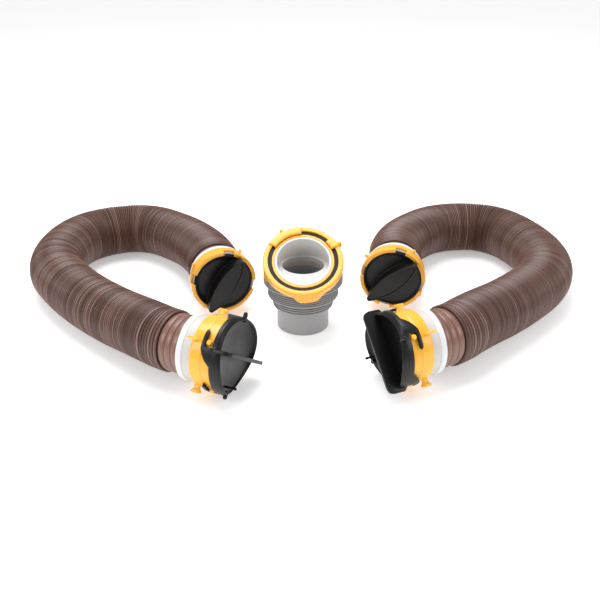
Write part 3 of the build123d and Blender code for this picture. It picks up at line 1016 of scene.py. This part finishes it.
# ------------------------------------------------------------------ adapter
@dataclass
class Adapter:
    """Stepped threaded spigot, milky elbow and yellow ring."""

    spigot: float = 38.2
    spigot_height: float = 36.0
    bore: float = 34.2
    pitch: float = 3.2
    cup: float = 55.2
    cup_floor: float = 73.0
    socket: float = 47.2
    foot: float = 46.2
    elbow: float = 40.6
    elbow_bore: float = 37.2
    shelf_top: float = 99.9
    shelf_low: float = 92.0
    throat: float = 30.2
    throat_y: float = -6.0
    guide: float = 33.5
    guide_bore: float = 31.0
    guide_top: float = 80.0
    lower_bore: float = 36.0
    tilt: float = 33.0
    bend_height: float = 76.5
    mouth_reach: float = 46.0
    head: float = 57.3
    head_inner: float = 54.4
    lobe_at: float = 278.0
    elbow_low: float = 64.0
    cup_top: float = 84.0
    steps: Sequence[tuple[float, float, float]] = ((44.5, 36.0, 52.0), (52.0, 52.0, 72.0),
                                                   (58.0, 72.0, 84.0))

    def mouth(self) -> Matrix:
        """Seat of what sits on the tilted mouth, in mm."""
        lean = Matrix.Rotation(math.radians(self.tilt), 4, "X")
        return (Matrix.Translation((0, 0, self.bend_height)) @ lean
                @ Matrix.Translation((0, 0, self.mouth_reach)))

    def outlet(self) -> Vector:
        """Direction out of the tilted mouth."""
        return self.mouth().to_3x3() @ UP

    def thread(self, radius: float, low: float, high: float) -> list[tuple[float, float]]:
        """Saw-tooth outline of one threaded step with plain shoulders."""
        count = round((high - low - 2.0) / self.pitch)
        step = (high - low - 2.0) / count
        points = [(radius - 0.9, low), (radius - 0.2, low + 0.9)]
        for k in range(count):
            start = low + 1.0 + k * step
            points += [(radius, start + step * 0.14), (radius, start + step * 0.34),
                       (radius - 1.2, start + step * 0.62), (radius - 1.2, start + step * 0.80),
                       (radius - 0.2, start + step)]
        return points + [(radius - 0.2, high)]

    def build_spigot(self) -> Form:
        """Plain spigot, threaded steps, and the cup for the elbow."""
        outline = [(self.bore, 0.4), (self.bore + 0.6, 0.0), (self.spigot - 1.2, 0.0),
                   (self.spigot, 1.2), (self.spigot, self.spigot_height)]
        for radius, low, high in self.steps:
            outline += self.thread(radius, low, high)
        outline += [(self.cup + 0.3, self.cup_top), (self.cup, self.cup_top - 0.4),
                    (self.cup, self.cup_floor), (self.socket, self.cup_floor),
                    (self.socket, self.elbow_low), (self.guide, self.elbow_low),
                    (self.guide, self.guide_top), (self.guide_bore, self.guide_top),
                    (self.guide_bore, 62.0), (self.bore, 58.0)]
        # tone paints shade into the thread grooves and onto the inner walls
        return Form.turned(outline, 0.10, 128).mark("tone", self._painted_thread_shade)

    def _painted_thread_shade(self, co: Vector) -> float:
        """Painted shade: 1 in the bottom of a thread's groove and on the inner walls from the first
        threaded step up to the cup floor, 0 on its crest.
        """
        steps = [radius for radius, low, high in self.steps if low + 0.1 < co.z < high - 0.1]
        across = math.hypot(co.x, co.y)
        if not steps or across < self.cup + 0.5 and co.z > self.cup_floor - 0.5:
            return 0.0
        return held((steps[0] - 0.3 - across) / 0.9)

    def outer_wall(self) -> Form:
        """Outside of the elbow, open at both ends: upright part, bend, tilted part, rounded lip."""
        pivot, low = self.elbow + 0.1, self.elbow_low
        form = Form()
        bm = form.mesh
        run = pivot * math.tan(math.radians(self.tilt / 2))
        bmesh.ops.create_circle(bm, segments=ROUND, radius=self.elbow,
                                matrix=Matrix.Translation((0, 0, low)))
        rim = self._lengthen(bm, Vector((0, 0, self.bend_height - run - low)))
        turned = bmesh.ops.spin(bm, geom=rim + list({v for e in rim for v in e.verts}),
                                cent=(0, -pivot, self.bend_height - run), axis=(1, 0, 0),
                                angle=math.radians(self.tilt), steps=12)
        last = [item for item in turned["geom_last"] if isinstance(item, bmesh.types.BMEdge)]
        out = self.outlet()
        last = self._lengthen(bm, out * (self.mouth_reach - run - 1.3), last)
        for step, share in ((0.7, 0.994), (0.45, 0.985), (0.15, 0.98)):
            last = self._lengthen(bm, out * step, last, share)
        return form

    @staticmethod
    def _lengthen(bm: bmesh.types.BMesh, step: Vector, edges: list | None = None,
                  share: float = 1.0) -> list[bmesh.types.BMEdge]:
        """Extrude a rim of edges.

        Args:
            bm: the mesh.
            step: how far the rim goes.
            edges: the rim; every edge when left out.
            share: size of the new rim as a share of the old one.

        Returns:
            The new rim.
        """
        grown = bmesh.ops.extrude_edge_only(bm, edges=edges or bm.edges[:])
        verts = [item for item in grown["geom"] if isinstance(item, bmesh.types.BMVert)]
        bmesh.ops.translate(bm, verts=verts, vec=step)
        middle = sum((v.co for v in verts), Vector()) / len(verts)
        bmesh.ops.scale(bm, verts=verts, vec=(share, share, share),
                        space=Matrix.Translation(-middle))
        return [item for item in grown["geom"]
                if isinstance(item, bmesh.types.BMEdge) and all(v in verts for v in item.verts)]

    def throat_wall(self) -> Form:
        """Wall from the shelf's round hole down to the elbow's foot."""
        form = Form()
        bm = form.mesh
        radius, height, across = self.throat + 0.9, self.shelf_top, self.throat_y
        bmesh.ops.create_circle(bm, segments=ROUND, radius=radius,
                                matrix=Matrix.Translation((0, across, height)))
        rim = bm.edges[:]
        for wide, z, y in ((self.throat + 0.25, self.shelf_top - 0.3, self.throat_y),
                           (self.throat, self.shelf_top - 1.0, self.throat_y),
                           (self.throat, self.shelf_low, self.throat_y),
                           (34.0, self.shelf_low - 0.5, 0.0), (self.lower_bore, 83.0, 0.0),
                           (self.lower_bore, self.elbow_low, 0.0)):
            rim = self._lengthen(bm, Vector((0, y - across, z - height)), rim, wide / radius)
            radius, height, across = wide, z, y
        return form

    def mouth_wall(self) -> Form:
        """Wall of the mouth down to the shelf, with a rounded inner lip."""
        form = Form()
        bm = form.mesh
        out, into, bore = self.outlet(), self.mouth().inverted(), self.elbow_bore
        bmesh.ops.create_circle(bm, segments=ROUND, radius=bore + 1.1, matrix=self.mouth())
        rim = bm.edges[:]
        for step, wide, old in ((0.3, 0.35, 1.1), (0.8, 0.0, 0.35), (90.0, 0.0, 0.0)):
            rim = self._lengthen(bm, out * -step, rim, (bore + wide) / (bore + old))
        bmesh.ops.bisect_plane(bm, geom=form.whole(), dist=1e-5, plane_co=(0, 0, self.shelf_top),
                               plane_no=(0, 0, 1), clear_inner=True)
        ends = sorted((v for v in bm.verts if sum(len(e.link_faces) == 1 for e in v.link_edges) == 2
                       and abs(v.co.z - self.shelf_top) < NEAR
                       and abs((into @ v.co).z) < NEAR), key=lambda v: v.co.x)
        bmesh.ops.contextual_create(bm, geom=[ends[0], ends[-1]])
        return form

    def build_elbow(self) -> Form:
        """Elbow with its foot in the cup, its throat in a level shelf, and beads for the ring."""
        form = self.outer_wall().add(self.mouth_wall()).add(self.throat_wall())
        bm = form.mesh
        into = self.mouth().inverted()
        tests = (lambda v: abs((into @ v.co).z) < 2 * NEAR and v.co.z > self.shelf_top - 40.0,
                 lambda v: abs(v.co.z - self.shelf_top) < 2 * NEAR)
        for test in tests:
            rim = [e for e in bm.edges if len(e.link_faces) < 2 and all(test(v) for v in e.verts)]
            bmesh.ops.triangle_fill(bm, use_beauty=True, use_dissolve=False, edges=rim)
        foot_rims = [e for e in bm.edges if len(e.link_faces) == 1
                     and all(abs(v.co.z - self.elbow_low) < NEAR for v in e.verts)]
        bmesh.ops.bridge_loops(bm, edges=foot_rims)
        form.outward()
        inside, floor = self.elbow - 1.0, self.cup_floor + 0.4
        foot = [(inside, 64.6), (self.foot, 64.6), (self.foot, floor), (54.6, floor), (54.6, 77.0),
                (45.6, 79.5), (inside, 79.5)]
        form.add(Form.turned(foot, 0.3))
        for outer, back, front in ((42.4, -3.6, -2.2), (42.0, -10.0, -7.9)):
            bead = [(inside, back), (outer, back), (outer, front), (inside, front)]
            form.add(Form.turned(bead, 0.4).carry(self.mouth()))
        # tone paints shade inside the elbow and below the shelf
        return form.mark("tone", self._painted_inner_shade)

    def _painted_inner_shade(self, co: Vector) -> float:
        """Painted shade: greyer inside, and greyest below the shelf."""
        local = self.mouth().inverted() @ co
        across = math.hypot(co.x, co.y - self.throat_y)
        if across < self.throat + 0.3 and co.z < self.shelf_top - 0.5:
            return 0.9
        inside = math.hypot(local.x, local.y) < self.elbow_bore + 0.3 and local.z < -1.0
        return 0.25 if inside else 0.0

    def back_edge(self, angle: float) -> float:
        """Where the ring's skirt ends at an angle: four sloping lobes with straight gaps."""
        off = (math.degrees(angle) - self.lobe_at + 45.0) % 90.0 - 45.0
        part = held((25.0 - abs(off)) / 14.0)
        return -8.5 - 13.5 * part * part * (3.0 - 2.0 * part)

    def build_ring(self) -> Form:
        """Ring with a gasket seat, a wavy skirt, ledges over the gasket and thin fingers."""
        neck = self.elbow + 0.3
        face = Form.turned([(neck, -7.5), (self.head_inner, -7.5), (self.head, -6.5),
                            (self.head, 0.4), (self.head - 1.2, 1.6), (50.2, 1.6), (50.2, -4.2),
                            (44.2, -4.2), (44.2, -0.2), (neck, -0.2), (neck, -1.9), (42.8, -1.9),
                            (42.8, -3.9), (neck, -3.9)], 0.4, 144)
        skirt = Form.turned([(self.head_inner, -6.0), (self.head_inner, -9.0), (self.head, -9.0),
                             (self.head, -6.0)], 0.5, 180)
        skirt.bend(self._drop_skirt)
        face.add(skirt)
        for middle, width in ((122.0, 58.0), (34.0, 18.0)):
            ledge = [(44.4, 0.3), (self.head - 1.0, 0.3), (self.head - 1.0, 3.0), (55.0, 4.2),
                     (45.2, 4.2)]
            face.add(Form.sector(ledge, middle, width, 0.6))
        for phi in (121.0, 30.0):
            face.add(self.build_finger(phi))
        return face.mark("tone", lambda co: 0.35)

    def _drop_skirt(self, co: Vector) -> Vector:
        """Carry the skirt's back edge to its wavy line."""
        share = held((-6.0 - co.z) / 3.0)
        angle = math.atan2(co.y, co.x)
        return Vector((co.x, co.y, co.z + share * (self.back_edge(angle) + 9.0)))

    def build_finger(self, phi: float) -> Form:
        """Thin finger that stands out of the ring."""
        outline = [(53.0, -9.0), (60.3, -10.0), (63.0, -8.6), (63.0, 0.6), (60.6, 2.4), (53.0, 2.4)]
        return Form.plate(outline, 4.4, 1.2, 0.9).move(0, 0, -2.2).stand(phi)

    def dress(self) -> None:
        """Make and dress the adapter's pieces."""
        publish(self.build_spigot(), "threaded_spigot", TO_METRES, Finish.SPIGOT, "adapter_base",
                "adapter_spigot")
        publish(self.build_elbow(), "bent_elbow", TO_METRES, Finish.ELBOW, "adapter_bend",
                "adapter_elbow")
        publish(self.build_ring(), "elbow_ring", TO_METRES @ self.mouth(), Finish.YELLOW,
                "adapter_head", "adapter_ring")
        dress_node("adapter_gasket", Finish.RUBBER)
        dress_node("adapter_oring", Finish.RUBBER)


# ------------------------------------------------------------------ studio
@dataclass
class Studio:
    """Plain pale floor, soft light from above and a camera in front."""

    camera_at: Vector
    looks_at: Vector
    lens: float = 49.435
    sensor: float = 36.0
    floor: Colour = (0.92, 0.92, 0.93, 1.0)
    floor_half: float = 6.0
    floor_glow: float = 0.36
    surroundings: float = 0.60
    lit: tuple[float, float, float] = (0.0, 0.05, 0.0)
    boxes: Sequence[tuple[str, tuple[float, float, float], float, float]] = (
        ("top_box", (-0.2, 0.35, 1.7), 1.3, 26.0), ("left_box", (-1.5, -0.9, 1.1), 0.8, 9.0),
        ("right_box", (1.6, -0.7, 1.0), 0.8, 7.0))

    def build_floor(self) -> None:
        bm = bmesh.new()
        bmesh.ops.create_grid(bm, x_segments=1, y_segments=1, size=self.floor_half)
        data = bpy.data.meshes.new("studio_floor")
        bm.to_mesh(data)
        bm.free()
        data.materials.append(Paint("studio_sheet").dress({
            "Base Color": self.floor, "Roughness": 0.55, "Emission Color": WHITE,
            "Emission Strength": self.floor_glow}))
        shown("studio_floor", data)

    def aim(self, holder: bpy.types.Object, at: Vector, target: Vector) -> None:
        """Put a lamp or the camera at a point, facing another."""
        holder.location = at
        holder.rotation_euler = (target - at).to_track_quat("-Z", "Y").to_euler()

    def build_light(self, name: str, at: Vector, size: float, watts: float) -> None:
        lamp = bpy.data.lights.new(name, "AREA")
        lamp.shape = "SQUARE"
        lamp.size = size
        lamp.energy = watts
        self.aim(shown(name, lamp), at, Vector(self.lit))

    def build_camera(self) -> None:
        data = bpy.data.cameras.new("camera")
        data.lens = self.lens
        data.sensor_width = self.sensor
        camera = shown("camera", data)
        self.aim(camera, self.camera_at, self.looks_at)
        bpy.context.scene.camera = camera

    def build_world(self) -> None:
        """Even bright surroundings."""
        world = bpy.data.worlds.new("studio")
        world.use_nodes = True
        background = world.node_tree.nodes["Background"]
        background.inputs["Color"].default_value = WHITE
        background.inputs["Strength"].default_value = self.surroundings
        bpy.context.scene.world = world
        bpy.context.scene.view_settings.view_transform = "Standard"

    def build(self) -> None:
        """Set the studio up."""
        self.build_floor()
        self.build_world()
        for name, at, size, watts in self.boxes:
            self.build_light(name, Vector(at), size, watts)
        self.build_camera()


LUG_BACK = 12.0
BAY_BACK = -4.0
HOSE_A = RibbedHose(
    "a", [(-127, 54), (-140, 94), (-158, 146), (-199, 216), (-281, 282), (-385, 236),
          (-404, 110), (-345, 20), (-274, -54), (-213, -108), (-172, -147), (-132, -165)],
    length=0.885, seed=1.3)
HOSE_B = RibbedHose(
    "b", [(140, 68), (147, 109), (150, 154), (172, 215), (236, 281), (338, 279),
          (388, 170), (384, 72), (302, -23), (235, -84), (195, -132), (155, -150)],
    length=0.86, seed=7.9)


def main() -> None:
    logging.basicConfig(level=logging.INFO, format="%(name)s: %(message)s")
    Studio(Vector((0.0, -1.0856, 0.5993)), Vector((-0.0045, 0.0, 0.0396))).build()
    for hose, fin, grip in ((HOSE_A, 145.0, 55.0), (HOSE_B, 135.0, 41.0)):
        piece = hose.dress()
        points = hose.route()
        fittings = LugEnd(hose.tag, seat_on_run(points[-1], points[-2], LUG_BACK), fin).dress()
        hose.declare(piece, fittings)
        BayonetEnd(hose.tag, seat_on_run(points[0], points[1], BAY_BACK), grip).dress()
    Adapter().dress()


if __name__ == "__main__":
    main()
